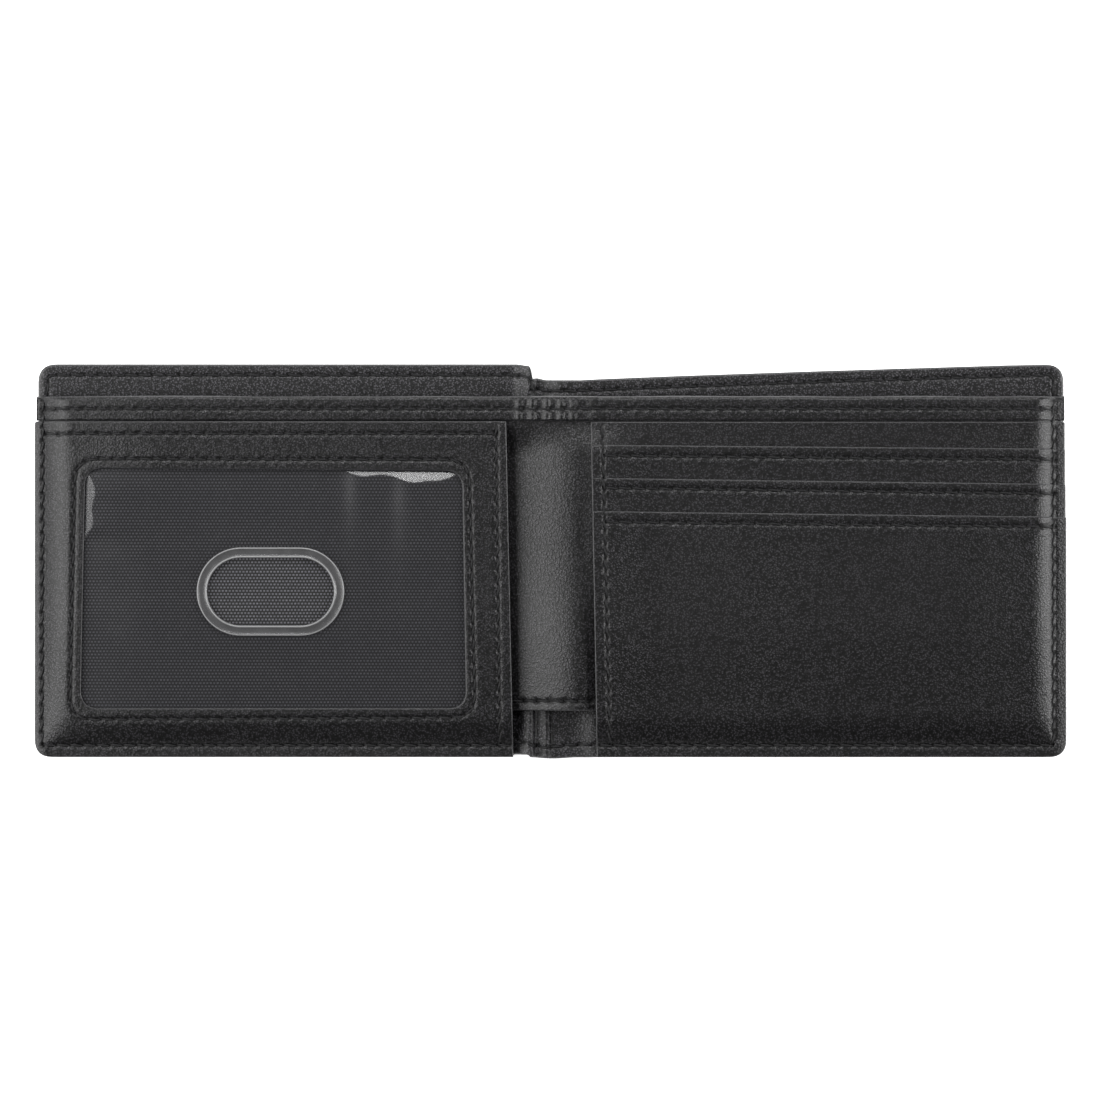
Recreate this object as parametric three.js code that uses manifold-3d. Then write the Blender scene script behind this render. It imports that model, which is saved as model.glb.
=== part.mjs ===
// A folding leather wallet, lying open on its back with its pockets facing up.
//
// Millimetres, +Z up. X runs along the open wallet, Y from the sewn bottom edge to the open top
// edge, and the origin is the centre of the footprint on the table. Two leaves, an identity-card
// window on the left and three card slots on the right, are joined by a narrow spine, and fold up
// about two lines parallel to Y. A divider sewn to the cover round the sides and the bottom makes
// the note compartment, whose mouth is along the top edge.
//
// Every layer is a flat sheet of leather, nylon, film or board, or a run of thread, and there is a
// thin gap between one layer and the next. Inside the sewn edge the layers above the note
// compartment rise together, so the compartment stands open between the cover and the divider.

import * as THREE from "three";
import { mergeVertices } from "three/addons/utils/BufferGeometryUtils.js";
import Module from "manifold-3d";

const wasm = await Module();
wasm.setup();

// Driving dimensions
const LEAF_END = 116.8; // from the middle of the spine to the outer edge of a leaf
const TOP = 44.5; // top edge of the cover
const BOTTOM = -44.5; // bottom edge of the cover and the pockets
const CORNER = 3.2; // radius of the outer corners
const FOLD_X = 4.2; // each fold line is this far from the middle of the spine
const SEAM_INSET = 2.5; // from a sewn edge to its thread
const DIVIDER_TOP = 37; // mouth of the note compartment
const DIVIDER_FOOT = -33.9; // the divider stops here across the spine
const BAND_FOOT = 31.7; // lower edge of the band along the divider's mouth
const NOTE_ROOM = 4.4; // how far the layers over the note compartment rise inside the seam
const SPINE_DIP = 3.6; // how much lower the cover's top edge is across the spine
const STIFFENER_INSET = 4.5; // from the cover's edge to the edge of its stiffening board
const PANEL_GAP = 0.3; // between the edges of two sheets on one level
const TUCK = 1; // how far a hidden sheet or a thread's end stops short of the edge beside it

// Heights of the layers at the sewn edge, [underside, top]. Those from dividerLining up also rise.
const LEVEL = {
  cover: [0, 0.9],
  stiffener: [1.0, 1.3],
  facing: [1.4, 1.9],
  dividerLining: [2.0, 2.2],
  divider: [2.3, 2.9],
  band: [3.0, 3.6],
  idBacking: [3.0, 3.2],
  film: [3.3, 3.6],
  frame: [3.7, 4.4],
  cardBase: [3.0, 3.5],
  slot1: [3.6, 4.1],
  slot2: [4.2, 4.7],
  frontPocket: [4.8, 5.4],
};
const FOLD_Z = (LEVEL.divider[0] + LEVEL.divider[1]) / 2 + NOTE_ROOM;
const FOLD_CLEAR = 0.15; // spare room on each side of a fold

// Thread lies in a shallow channel in the leather and stands a little proud of it.
const THREAD = { halfWidth: 0.25, below: 0.2, above: 0.15 };
const CHANNEL = { halfWidth: 0.4, depth: 0.3 };

// The rise from the sewn edge to full height is a quarter ellipse.
const LAND = 3.2; // flat width of the sewn edge
const RISE_RUN = 4.8; // width of the rise
const RISE_STEPS = [0, 0.06, 0.2, 0.5, 1];

// Identity-card pocket on the left leaf
const ID_TOP = 31.5;
const ID_EDGE = { top: -10, bottom: -8.4 }; // x of its free edge beside the spine
const ID_SIDE_SEAM = { top: -12.3, bottom: -11.4 };
const WINDOW = [
  [-105.2, 20.9, 4.1],
  [-106.3, -33.4, 4.1],
  [-19.1, -33.4, 4.1],
  [-20.0, 20.3, 4.1],
];
const WINDOW_SEAM_OUT = 2.1; // from the window's edge to its thread
const FILM_OUT = 3.2; // from the window's edge to the film's edge
const THUMB_HOLE = { x: -63.3, y: -7, halfLength: 14.3, halfHeight: 7.6 };
const THUMB_RIM = { width: 2.4, thickness: 0.9 };

// Card pockets on the right leaf. Their top edges fall a little towards the outer end.
const CARD_TOP = BAND_FOOT - PANEL_GAP;
const CARD_EDGE = { top: 9.1, bottom: 10.5 }; // x of their free edge beside the spine
const CARD_SIDE_SEAM = { top: 11.7, bottom: 13.4 };
const SLOTS = [
  { name: "slot_1", level: LEVEL.slot1, top: 26.2, fall: 0.9, foot: 13, linerFoot: -26 },
  { name: "slot_2", level: LEVEL.slot2, top: 18.7, fall: 1.4, foot: 5.5, linerFoot: -33 },
];
const FRONT_POCKET = { top: 11.2, fall: 1.3 };
const LINER_THICKNESS = 0.25;

// Divider between the leaves' pockets and the notes
const DIVIDER_STEP_X = 12; // nearer the spine than this, the divider stops at its raised foot
const HEM_INSET = 2.1; // from the raised foot to its thread
const HEM_END_X = 8.1; // the hem's thread stops here, short of the pockets
const BAND_SEAM_INSET = 2.7; // from the divider's mouth to the band's thread

const MATERIAL = {
  leather: { color: 0x262628, roughness: 0.55 },
  facing: { color: 0x2a2929, roughness: 0.65 },
  nylon: { color: 0x232327, roughness: 0.7 },
  film: { color: 0xe8ecf0, roughness: 0.12, transparent: true, opacity: 0.25 },
  board: { color: 0x8c8578, roughness: 0.9 },
  thread: { color: 0x19191b, roughness: 0.6 },
};

// ---- Solids ----

/** A closed BufferGeometry as a manifold-3d solid. */
function solidOf(geometry) {
  const bare = geometry.clone();
  bare.deleteAttribute("normal");
  bare.deleteAttribute("uv");
  const merged = mergeVertices(bare, 1e-4);
  const mesh = new wasm.Mesh({
    numProp: 3,
    vertProperties: new Float32Array(merged.attributes.position.array),
    triVerts: new Uint32Array(merged.index.array),
  });
  return new wasm.Manifold(mesh);
}

/** A manifold-3d solid as a flat-shaded BufferGeometry. */
function geometryOf(solid) {
  const mesh = solid.getMesh();
  const indexed = new THREE.BufferGeometry();
  indexed.setAttribute("position", new THREE.BufferAttribute(mesh.vertProperties, 3));
  indexed.setIndex(new THREE.BufferAttribute(mesh.triVerts, 1));
  const flat = indexed.toNonIndexed();
  flat.computeVertexNormals();
  return flat;
}

/** A tall prism over a shape, reaching past every layer. */
function prism(shape) {
  const height = 40;
  const geometry = new THREE.ExtrudeGeometry(shape, {
    depth: height,
    bevelEnabled: false,
    curveSegments: 6,
  });
  return solidOf(geometry.translate(0, 0, -height / 2));
}

/** Share of the full rise at a distance in from a sewn edge. */
function riseShare(inset) {
  const t = THREE.MathUtils.clamp((inset - LAND) / RISE_RUN, 0, 1);
  return Math.sqrt(1 - (1 - t) ** 2);
}

/** Height of the note compartment's roof above its sewn edge. */
function rise(x, y) {
  return NOTE_ROOM * riseShare(LEAF_END - Math.abs(x)) * riseShare(y - BOTTOM);
}

// Grid lines that every layer is folded along, reaching past the wallet all round
const riseInsets = RISE_STEPS.map((t) => LAND + t * RISE_RUN);
const leftLines = riseInsets.map((inset) => inset - LEAF_END);
const rightLines = riseInsets.map((inset) => LEAF_END - inset).reverse();
const gridX = [-LEAF_END - 1, ...leftLines, ...rightLines, LEAF_END + 1];
const gridY = [BOTTOM - 1, ...riseInsets.map((inset) => BOTTOM + inset), TOP + 1];

/** A sheet over the whole wallet, from z = 0 up to its thickness, rising over the notes or flat. */
function sheet(thickness, raised) {
  const columns = gridX.length;
  const rows = gridY.length;
  const positions = [];
  for (const z of [0, thickness]) {
    for (const y of gridY) {
      for (const x of gridX) positions.push(x, y, z + (raised ? rise(x, y) : 0));
    }
  }
  const index = [];
  const at = (i, j, face) => (face * rows + j) * columns + i;
  // Every square is split along the same diagonal, so that layers stay parallel.
  const square = (a, b, c, d) => index.push(a, b, c, a, c, d);
  for (let j = 0; j < rows - 1; j++) {
    for (let i = 0; i < columns - 1; i++) {
      square(at(i, j, 1), at(i + 1, j, 1), at(i + 1, j + 1, 1), at(i, j + 1, 1));
      index.push(at(i, j, 0), at(i + 1, j + 1, 0), at(i + 1, j, 0));
      index.push(at(i, j, 0), at(i, j + 1, 0), at(i + 1, j + 1, 0));
    }
  }
  const right = columns - 1;
  const back = rows - 1;
  for (let i = 0; i < right; i++) {
    square(at(i, 0, 0), at(i + 1, 0, 0), at(i + 1, 0, 1), at(i, 0, 1));
    square(at(i + 1, back, 0), at(i, back, 0), at(i, back, 1), at(i + 1, back, 1));
  }
  for (let j = 0; j < back; j++) {
    square(at(0, j + 1, 0), at(0, j, 0), at(0, j, 1), at(0, j + 1, 1));
    square(at(right, j, 0), at(right, j + 1, 0), at(right, j + 1, 1), at(right, j, 1));
  }
  const geometry = new THREE.BufferGeometry();
  geometry.setAttribute("position", new THREE.Float32BufferAttribute(positions, 3));
  geometry.setIndex(index);
  return solidOf(geometry);
}

// ---- Outlines ----

/** A closed outline through corners [x, y, radius], with rounded corners. */
function outline(corners, Kind = THREE.Shape) {
  const points = corners.map(([x, y]) => new THREE.Vector2(x, y));
  const path = new Kind();
  corners.forEach(([, , radius = 0], i) => {
    const here = points[i];
    const toward = (other) => other.clone().sub(here).setLength(radius).add(here);
    const start = toward(points.at(i - 1));
    const end = toward(points[(i + 1) % points.length]);
    if (i === 0) path.moveTo(start.x, start.y);
    else path.lineTo(start.x, start.y);
    if (radius > 0) path.quadraticCurveTo(here.x, here.y, end.x, end.y);
  });
  path.closePath();
  return path;
}

/** The corners of a four-sided outline, moved outward all round by a distance. */
function grown(corners, distance) {
  const box = new THREE.Box2();
  for (const [x, y] of corners) box.expandByPoint(new THREE.Vector2(x, y));
  const centre = box.getCenter(new THREE.Vector2());
  return corners.map(([x, y, radius]) => [
    x + Math.sign(x - centre.x) * distance,
    y + Math.sign(y - centre.y) * distance,
    radius + distance,
  ]);
}

/** The outline of a band of constant width along an open line of [x, y] points. */
function ribbon(line, halfWidth) {
  const points = line.map(([x, y]) => new THREE.Vector2(x, y));
  const last = points.length - 1;
  const right = [];
  const left = [];
  points.forEach((here, i) => {
    const into = here.clone().sub(points[Math.max(i - 1, 0)]).normalize();
    const out = points[Math.min(i + 1, last)].clone().sub(here).normalize();
    const along = into.clone().add(out).normalize();
    const half = halfWidth / along.dot(i === last ? into : out);
    right.push([here.x + along.y * half, here.y - along.x * half]);
    left.unshift([here.x - along.y * half, here.y + along.x * half]);
  });
  return outline([...right, ...left]);
}

/** A closed band of constant width around the corners of a four-sided outline. */
function loop(corners, halfWidth) {
  const shape = outline(grown(corners, halfWidth));
  shape.holes.push(outline(grown(corners, -halfWidth), THREE.Path));
  return shape;
}

/** The round-ended outline of the thumb hole, grown by a distance. */
function thumbSlot(distance, Kind = THREE.Shape) {
  const { x, y, halfLength, halfHeight } = THUMB_HOLE;
  const straight = halfLength - halfHeight;
  const radius = halfHeight + distance;
  const path = new Kind();
  path.absarc(x + straight, y, radius, -Math.PI / 2, Math.PI / 2);
  path.absarc(x - straight, y, radius, Math.PI / 2, 1.5 * Math.PI);
  path.closePath();
  return path;
}

/** Points of a quarter turn about a centre, starting at a number of quarter turns from +X. */
function quarterTurn(x, y, radius, start) {
  const steps = 5;
  return Array.from({ length: steps + 1 }, (_, i) => {
    const angle = ((start + i / steps) * Math.PI) / 2;
    return [x + radius * Math.cos(angle), y + radius * Math.sin(angle)];
  });
}

/** x at a height y along a straight edge that runs from a top height down to the bottom edge. */
function edgeX(edge, top, y) {
  return THREE.MathUtils.mapLinear(y, top, BOTTOM, edge.top, edge.bottom);
}

/** How far a layer stops short of a fold line, so that it can turn up about the fold. */
function foldGap(top) {
  return Math.max(top - FOLD_Z, 0) + FOLD_CLEAR;
}

/** A strip across the spine, between the two fold lines. */
function spineStrip(bottom, top, gap) {
  const half = FOLD_X - gap;
  return outline([[-half, bottom], [half, bottom], [half, top], [-half, top]]);
}

// ---- Pieces ----

const LEFT = "left_leaf";
const SPINE = "spine";
const RIGHT = "right_leaf";
const LEAVES = [
  { side: -1, suffix: "left", body: LEFT },
  { side: 1, suffix: "right", body: RIGHT },
];
const FLAT = { raised: false };

const sheets = [];
const seams = [];

/** Declares a sheet: its body, material and level, its shape, and whether it rises. */
function addSheet(name, body, material, level, shape, options = {}) {
  sheets.push({ name, body, material, level, shape, raised: true, thicker: [], ...options });
}

/** Declares a run of thread along the top of a sheet, on an open line or round four corners. */
function addSeam(name, on, path) {
  seams.push({ name, on, path });
}

/** A leaf of the cover and the layers inside it, from its outer end to near the fold. */
function coverLeaf(side, inset, foldInset) {
  const end = side * (LEAF_END - inset);
  const foldX = side * (FOLD_X + foldInset);
  const foldTop = side < 0 ? TOP : TOP - SPINE_DIP;
  return outline([
    [end, TOP - inset, CORNER],
    [end, BOTTOM + inset, CORNER],
    [foldX, BOTTOM + inset],
    [foldX, foldTop - inset],
  ]);
}

/** The thread along a leaf's top edge, round the corner and down to the divider. */
function coverTopSeam(side) {
  const turn = CORNER - SEAM_INSET;
  const endX = LEAF_END - SEAM_INSET;
  const topY = TOP - SEAM_INSET;
  const foldY = side < 0 ? topY : topY - SPINE_DIP;
  const line = [
    [-FOLD_X - FOLD_CLEAR, foldY],
    ...quarterTurn(-endX + turn, topY - turn, turn, 1),
    [-endX, DIVIDER_TOP + PANEL_GAP],
  ];
  return line.map(([x, y]) => [-side * x, y]);
}

function addCover() {
  for (const { side, suffix, body } of LEAVES) {
    const whole = coverLeaf(side, 0, FOLD_CLEAR);
    const inner = coverLeaf(side, STIFFENER_INSET, STIFFENER_INSET);
    addSheet(`cover_${suffix}`, body, "leather", LEVEL.cover, whole, FLAT);
    addSheet(`cover_stiffener_${suffix}`, body, "board", LEVEL.stiffener, inner, FLAT);
    addSheet(`cover_facing_${suffix}`, body, "facing", LEVEL.facing, whole, FLAT);
    addSeam(`cover_top_thread_${suffix}`, `cover_facing_${suffix}`, coverTopSeam(side));
  }
  const top = TOP - SPINE_DIP;
  const strip = spineStrip(BOTTOM, top, FOLD_CLEAR);
  addSheet("cover_spine", SPINE, "leather", LEVEL.cover, strip, FLAT);
  addSheet("cover_facing_spine", SPINE, "facing", LEVEL.facing, strip, FLAT);
  const reach = FOLD_X - FOLD_CLEAR;
  const across = (y) => [[-reach, y], [reach, y]];
  addSeam("cover_top_thread_spine", "cover_facing_spine", across(top - SEAM_INSET));
  addSeam("cover_bottom_thread_spine", "cover_facing_spine", across(BOTTOM + SEAM_INSET));
}

/** A leaf of the divider: full height under the pockets, shorter beside the spine. */
function dividerLeaf(side, gap) {
  return outline([
    [side * LEAF_END, DIVIDER_TOP],
    [side * LEAF_END, BOTTOM, CORNER],
    [side * DIVIDER_STEP_X, BOTTOM],
    [side * DIVIDER_STEP_X, DIVIDER_FOOT],
    [side * (FOLD_X + gap), DIVIDER_FOOT],
    [side * (FOLD_X + gap), DIVIDER_TOP],
  ]);
}

function bandLeaf(side, gap) {
  return outline([
    [side * LEAF_END, DIVIDER_TOP],
    [side * LEAF_END, BAND_FOOT],
    [side * (FOLD_X + gap), BAND_FOOT],
    [side * (FOLD_X + gap), DIVIDER_TOP],
  ]);
}

function addDivider() {
  const gap = foldGap(LEVEL.divider[1] + NOTE_ROOM + THREAD.above);
  const bandGap = foldGap(LEVEL.band[1] + NOTE_ROOM + THREAD.above);
  const bandSeamY = DIVIDER_TOP - BAND_SEAM_INSET;
  const hemY = DIVIDER_FOOT + HEM_INSET;
  for (const { side, suffix, body } of LEAVES) {
    const run = (from, to, y) => [[side * from, y], [side * to, y]];
    const leaf = dividerLeaf(side, gap);
    addSheet(`divider_lining_${suffix}`, body, "nylon", LEVEL.dividerLining, leaf);
    addSheet(`divider_${suffix}`, body, "leather", LEVEL.divider, leaf);
    addSheet(`divider_band_${suffix}`, body, "leather", LEVEL.band, bandLeaf(side, bandGap));
    const bandRun = run(FOLD_X + bandGap, LEAF_END - TUCK, bandSeamY);
    addSeam(`band_thread_${suffix}`, `divider_band_${suffix}`, bandRun);
    addSeam(`hem_thread_${suffix}`, `divider_${suffix}`, run(FOLD_X + gap, HEM_END_X, hemY));
  }
  const strip = spineStrip(DIVIDER_FOOT, DIVIDER_TOP, gap);
  const bandStrip = spineStrip(BAND_FOOT, DIVIDER_TOP, bandGap);
  addSheet("divider_lining_spine", SPINE, "nylon", LEVEL.dividerLining, strip);
  addSheet("divider_spine", SPINE, "leather", LEVEL.divider, strip);
  addSheet("divider_band_spine", SPINE, "leather", LEVEL.band, bandStrip);
  const across = (reach, y) => [[-reach, y], [reach, y]];
  addSeam("band_thread_spine", "divider_band_spine", across(FOLD_X - bandGap, bandSeamY));
  addSeam("hem_thread_spine", "divider_spine", across(FOLD_X - gap, hemY));
}

/** A pocket sheet on the left leaf, stopping short of the pocket's top and free edges by a tuck. */
function idPanel(tuck) {
  return outline([
    [-LEAF_END, ID_TOP - tuck],
    [-LEAF_END, BOTTOM, CORNER],
    [ID_EDGE.bottom - tuck, BOTTOM],
    [ID_EDGE.top - tuck, ID_TOP - tuck],
  ]);
}

function addIdPocket() {
  const frame = idPanel(0);
  frame.holes.push(outline(WINDOW, THREE.Path));
  const film = outline(grown(WINDOW, FILM_OUT));
  film.holes.push(thumbSlot(0, THREE.Path));
  const rim = thumbSlot(THUMB_RIM.width);
  rim.holes.push(thumbSlot(0, THREE.Path));
  addSheet("id_pocket_backing", LEFT, "nylon", LEVEL.idBacking, idPanel(TUCK));
  addSheet("id_window_film", LEFT, "film", LEVEL.film, film, {
    thicker: [{ shape: rim, thickness: THUMB_RIM.thickness }],
  });
  addSheet("id_window_frame", LEFT, "leather", LEVEL.frame, frame);

  const turn = CORNER - SEAM_INSET;
  const endX = LEAF_END - SEAM_INSET;
  const bottomY = BOTTOM + SEAM_INSET;
  const topY = ID_TOP - SEAM_INSET;
  addSeam("edge_thread_left", "id_window_frame", [
    [-endX, ID_TOP - PANEL_GAP],
    ...quarterTurn(-endX + turn, bottomY + turn, turn, 2),
    [ID_EDGE.bottom - TUCK, bottomY],
  ]);
  addSeam("id_top_thread", "id_window_frame", [
    [-endX + TUCK, topY],
    [ID_SIDE_SEAM.top - TUCK, topY],
  ]);
  addSeam("id_side_thread", "id_window_frame", [
    [ID_SIDE_SEAM.top, ID_TOP - PANEL_GAP],
    [ID_SIDE_SEAM.bottom, bottomY + TUCK],
  ]);
  addSeam("window_thread", "id_window_frame", grown(WINDOW, WINDOW_SEAM_OUT));
}

/** A sheet across the right leaf from its top edge, which falls outward, down to a foot. */
function cardSheet(top, fall, foot, footRadius = 0) {
  return outline([
    [LEAF_END, top - fall],
    [edgeX(CARD_EDGE, CARD_TOP, top), top],
    [edgeX(CARD_EDGE, CARD_TOP, foot), foot],
    [LEAF_END, foot, footRadius],
  ]);
}

/** The thread below a pocket's top edge. */
function slotSeam({ top, fall }) {
  const y = top - SEAM_INSET;
  return [[CARD_SIDE_SEAM.bottom, y], [LEAF_END - SEAM_INSET - TUCK, y - fall]];
}

/** A nylon tongue that hangs below a slot's leather strip, behind the pockets in front of it. */
function slotLiner({ foot, linerFoot }) {
  const end = LEAF_END - SEAM_INSET - TUCK;
  const start = CARD_EDGE.bottom + TUCK;
  const top = foot - PANEL_GAP;
  return outline([[start, linerFoot], [end, linerFoot], [end, top], [start, top]]);
}

function addCardPockets() {
  const base = cardSheet(CARD_TOP, 0, BOTTOM, CORNER);
  addSheet("card_panel_base", RIGHT, "leather", LEVEL.cardBase, base);
  for (const slot of SLOTS) {
    const { name, level, top, fall, foot } = slot;
    const linerLevel = [level[0], level[0] + LINER_THICKNESS];
    addSheet(`${name}_strip`, RIGHT, "leather", level, cardSheet(top, fall, foot));
    addSheet(`${name}_liner`, RIGHT, "nylon", linerLevel, slotLiner(slot));
    addSeam(`${name}_thread`, `${name}_strip`, slotSeam(slot));
  }
  const front = cardSheet(FRONT_POCKET.top, FRONT_POCKET.fall, BOTTOM, CORNER);
  addSheet("front_pocket", RIGHT, "leather", LEVEL.frontPocket, front);
  addSeam("front_pocket_thread", "front_pocket", slotSeam(FRONT_POCKET));

  const turn = CORNER - SEAM_INSET;
  const endX = LEAF_END - SEAM_INSET;
  const bottomY = BOTTOM + SEAM_INSET;
  const topY = FRONT_POCKET.top - PANEL_GAP;
  const sideX = (y) => edgeX(CARD_SIDE_SEAM, CARD_TOP, y);
  addSeam("edge_thread_right", "front_pocket", [
    [CARD_EDGE.bottom + TUCK, bottomY],
    ...quarterTurn(endX - turn, bottomY + turn, turn, 3),
    [endX, topY - FRONT_POCKET.fall],
  ]);
  addSeam("card_side_thread", "front_pocket", [
    [sideX(topY), topY],
    [sideX(bottomY + TUCK), bottomY + TUCK],
  ]);
}

addCover();
addDivider();
addIdPocket();
addCardPockets();

// ---- Assembly ----

/** The shape of a seam's path at a half width. Corners of a closed seam carry a radius. */
function seamShape({ path }, halfWidth) {
  const closed = path[0].length === 3;
  return closed ? loop(path, halfWidth) : ribbon(path, halfWidth);
}

/** A named mesh of a solid, with its underside at a level. */
function meshOf(name, material, solid, level) {
  const mesh = new THREE.Mesh(
    geometryOf(solid),
    new THREE.MeshStandardMaterial({ ...MATERIAL[material], metalness: 0 }),
  );
  mesh.name = name;
  mesh.position.z = level;
  return mesh;
}

/** The mesh of a sheet, cut by the channels of the thread that is sewn into it. */
function sheetMesh({ name, material, level: [bottom, top], shape, raised, thicker }) {
  let solid = sheet(top - bottom, raised).intersect(prism(shape));
  for (const part of thicker) {
    solid = solid.add(sheet(part.thickness, raised).intersect(prism(part.shape)));
  }
  for (const seam of seams.filter(({ on }) => on === name)) {
    const floor = top - bottom - CHANNEL.depth;
    const above = sheet(2 * CHANNEL.depth, raised).translate([0, 0, floor]);
    solid = solid.subtract(above.intersect(prism(seamShape(seam, CHANNEL.halfWidth))));
  }
  return meshOf(name, material, solid, bottom);
}

/** The mesh of a run of thread, in its channel in a sheet. */
function seamMesh(seam, { level: [, top], raised }) {
  const run = sheet(THREAD.above + THREAD.below, raised);
  const solid = run.intersect(prism(seamShape(seam, THREAD.halfWidth)));
  return meshOf(seam.name, "thread", solid, top - THREAD.below);
}

const wallet = new THREE.Group();
for (const body of [LEFT, SPINE, RIGHT]) {
  const group = new THREE.Group();
  for (const piece of sheets.filter((one) => one.body === body)) {
    group.add(sheetMesh(piece));
    const sewn = seams.filter(({ on }) => on === piece.name);
    for (const seam of sewn) group.add(seamMesh(seam, piece));
  }
  wallet.add(group);
}

export default wallet;
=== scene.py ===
"""A leather wallet lying open on a pale table: the looks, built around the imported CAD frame.

Sizes are in millimetres in this script and become metres in mesh_object(). X runs along the open
wallet, Y from its sewn bottom edge to its open top edge, and Z up from the table.
"""
import math

import bpy
import numpy as np
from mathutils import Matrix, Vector
from mathutils.geometry import delaunay_2d_cdt
from mathutils.kdtree import KDTree


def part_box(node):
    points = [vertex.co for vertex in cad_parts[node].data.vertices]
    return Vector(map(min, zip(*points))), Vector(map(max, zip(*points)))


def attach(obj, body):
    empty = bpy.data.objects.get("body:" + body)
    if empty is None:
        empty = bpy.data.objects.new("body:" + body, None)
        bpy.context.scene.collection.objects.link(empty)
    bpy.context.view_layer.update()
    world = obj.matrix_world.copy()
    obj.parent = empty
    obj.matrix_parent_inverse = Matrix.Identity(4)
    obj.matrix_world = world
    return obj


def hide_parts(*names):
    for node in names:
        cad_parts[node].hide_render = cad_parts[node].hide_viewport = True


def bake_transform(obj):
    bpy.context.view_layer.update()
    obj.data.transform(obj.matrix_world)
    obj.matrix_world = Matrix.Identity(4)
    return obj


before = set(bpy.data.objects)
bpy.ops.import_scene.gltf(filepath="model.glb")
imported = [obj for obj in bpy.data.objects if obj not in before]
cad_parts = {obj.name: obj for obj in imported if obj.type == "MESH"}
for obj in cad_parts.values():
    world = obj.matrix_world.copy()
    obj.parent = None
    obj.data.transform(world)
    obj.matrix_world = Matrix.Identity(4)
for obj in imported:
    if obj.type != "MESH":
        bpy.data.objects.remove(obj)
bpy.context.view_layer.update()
MM = 0.001

# ---- Places, from the frame ----


def cad(node):
    """Lowest and highest corner of a CAD node, in millimetres."""
    low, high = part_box(node)
    return np.array(low) / MM, np.array(high) / MM


LEAF_END = cad("cover_right")[1][0]
TOP = cad("cover_left")[1][1]
BOTTOM = cad("cover_left")[0][1]
SPINE_TOP = cad("cover_spine")[1][1]
DIVIDER_TOP = cad("divider_left")[1][1]
DIVIDER_FOOT = cad("divider_spine")[0][1]
BAND_FOOT = cad("divider_band_left")[0][1]
ID_TOP = cad("id_window_frame")[1][1]
CARD_TOP = cad("card_panel_base")[1][1]
SLOT_1_TOP = cad("slot_1_strip")[1][1]
SLOT_2_TOP = cad("slot_2_strip")[1][1]
FRONT_TOP = cad("front_pocket")[1][1]

# Underside of each layer at the sewn edge, and its thickness
COVER = (0.0, 0.9)
FACING = (1.4, 0.5)
LINING = (cad("divider_lining_left")[0][2], 0.2)
DIVIDER = (cad("divider_left")[0][2], 0.6)
BAND = (cad("divider_band_left")[0][2], 0.6)
BACKING = (cad("id_pocket_backing")[0][2], 0.2)
FILM = (BACKING[0] + 0.42, 0.25)
FRAME = (cad("id_window_frame")[0][2], 0.7)
CARD_BASE = (cad("card_panel_base")[0][2], 0.5)
SLOT_1 = (cad("slot_1_strip")[0][2], 0.5)
SLOT_2 = (cad("slot_2_strip")[0][2], 0.5)
FRONT = (cad("front_pocket")[0][2], 0.6)
LINER_THICKNESS = 0.2

ROOM = cad("divider_left")[1][2] - DIVIDER[0] - DIVIDER[1]  # full rise over the note compartment
LAND = 2.5  # flat width of the sewn edge
CARD_LIFT = 1.5  # how far the divider holds up the inner edge of the card pockets
STRIP_LEFT, STRIP_RIGHT = -10.5, 6.5  # between these the divider climbs across the spine
STRIP_END = 11.5  # where it is back under the card pockets

# Seams
PITCH = 3.05  # from one needle hole to the next
THREAD = 0.23  # radius of the thread
EDGE_WIDTH = 0.17  # how far the lighter edge of the leather reaches, part wear and part painted highlight
GROOVE_DEPTH = 0.16  # how far the thread draws the leather in
HOLE_DEPTH = 0.34  # and how much further at a needle hole
SEAM_SWELL = 0.07  # how high it rises beside each hole
SEAM_OFFSETS = (-1.3, -0.85, -0.5, -0.24, 0, 0.24, 0.5, 0.85, 1.3)  # rows of points along a seam

# Sheets
BORDER_STEP = 0.8  # from point to point along an outline
BORDER_OFFSETS = (0.06, 0.14, 0.26, 0.45)  # rows of points inside an outline
CLEAR_OF_BORDER = 0.62  # how far other points stay from an outline
CLEAR_OF_SEAM = 1.6  # and grid points from a seam
SAMPLE_STEP = 0.06  # between samples of an outline, to measure distances

# ---- Small helpers ----


def ramp(value, low, high):
    """0 below low, 1 above high, smooth between."""
    t = np.clip((value - low) / (high - low), 0, 1)
    return t * t * (3 - 2 * t)


def bump(value, centre, width):
    """A bell curve of height 1."""
    return np.exp(-(((value - centre) / width) ** 2))


def ease(value, run):
    """From 0 up to 1 over a run, steep at first and level at the end."""
    t = np.clip(value / run, 0, 1)
    return 1 - (1 - t) ** 2


def waves(x, y, seed, size):
    """A smooth, uneven surface between about -1 and 1, with features of one size."""
    rng = np.random.default_rng(seed)
    total = 0
    for _ in range(7):
        angle, phase = rng.uniform(0, math.tau, 2)
        length = size * rng.uniform(0.7, 1.6)
        total = total + np.sin((x * math.cos(angle) + y * math.sin(angle)) * math.tau / length + phase)
    return total / 4


def rounded(corners):
    """A closed outline through corners (x, y, radius), as points, with each corner rounded."""
    corners = np.array([(*c, 0)[:3] for c in corners], float)
    points = []
    for i, (x, y, radius) in enumerate(corners):
        here = np.array([x, y])
        if radius == 0:
            points.append(here)
            continue
        into = corners[i - 1][:2] - here
        out = corners[(i + 1) % len(corners)][:2] - here
        into, out = into / np.hypot(*into), out / np.hypot(*out)
        for t in np.linspace(0, 1, 9):
            points.append(here + radius * ((1 - t) ** 2 * into + t**2 * out))
    return np.array(points)


def resample(loop, step):
    """A closed outline's points, no further apart than a step."""
    points = []
    for a, b in zip(loop, np.roll(loop, -1, axis=0)):
        count = max(1, math.ceil(np.hypot(*(b - a)) / step))
        points.extend(a + (b - a) * i / count for i in range(count))
    return np.array(points)


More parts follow.
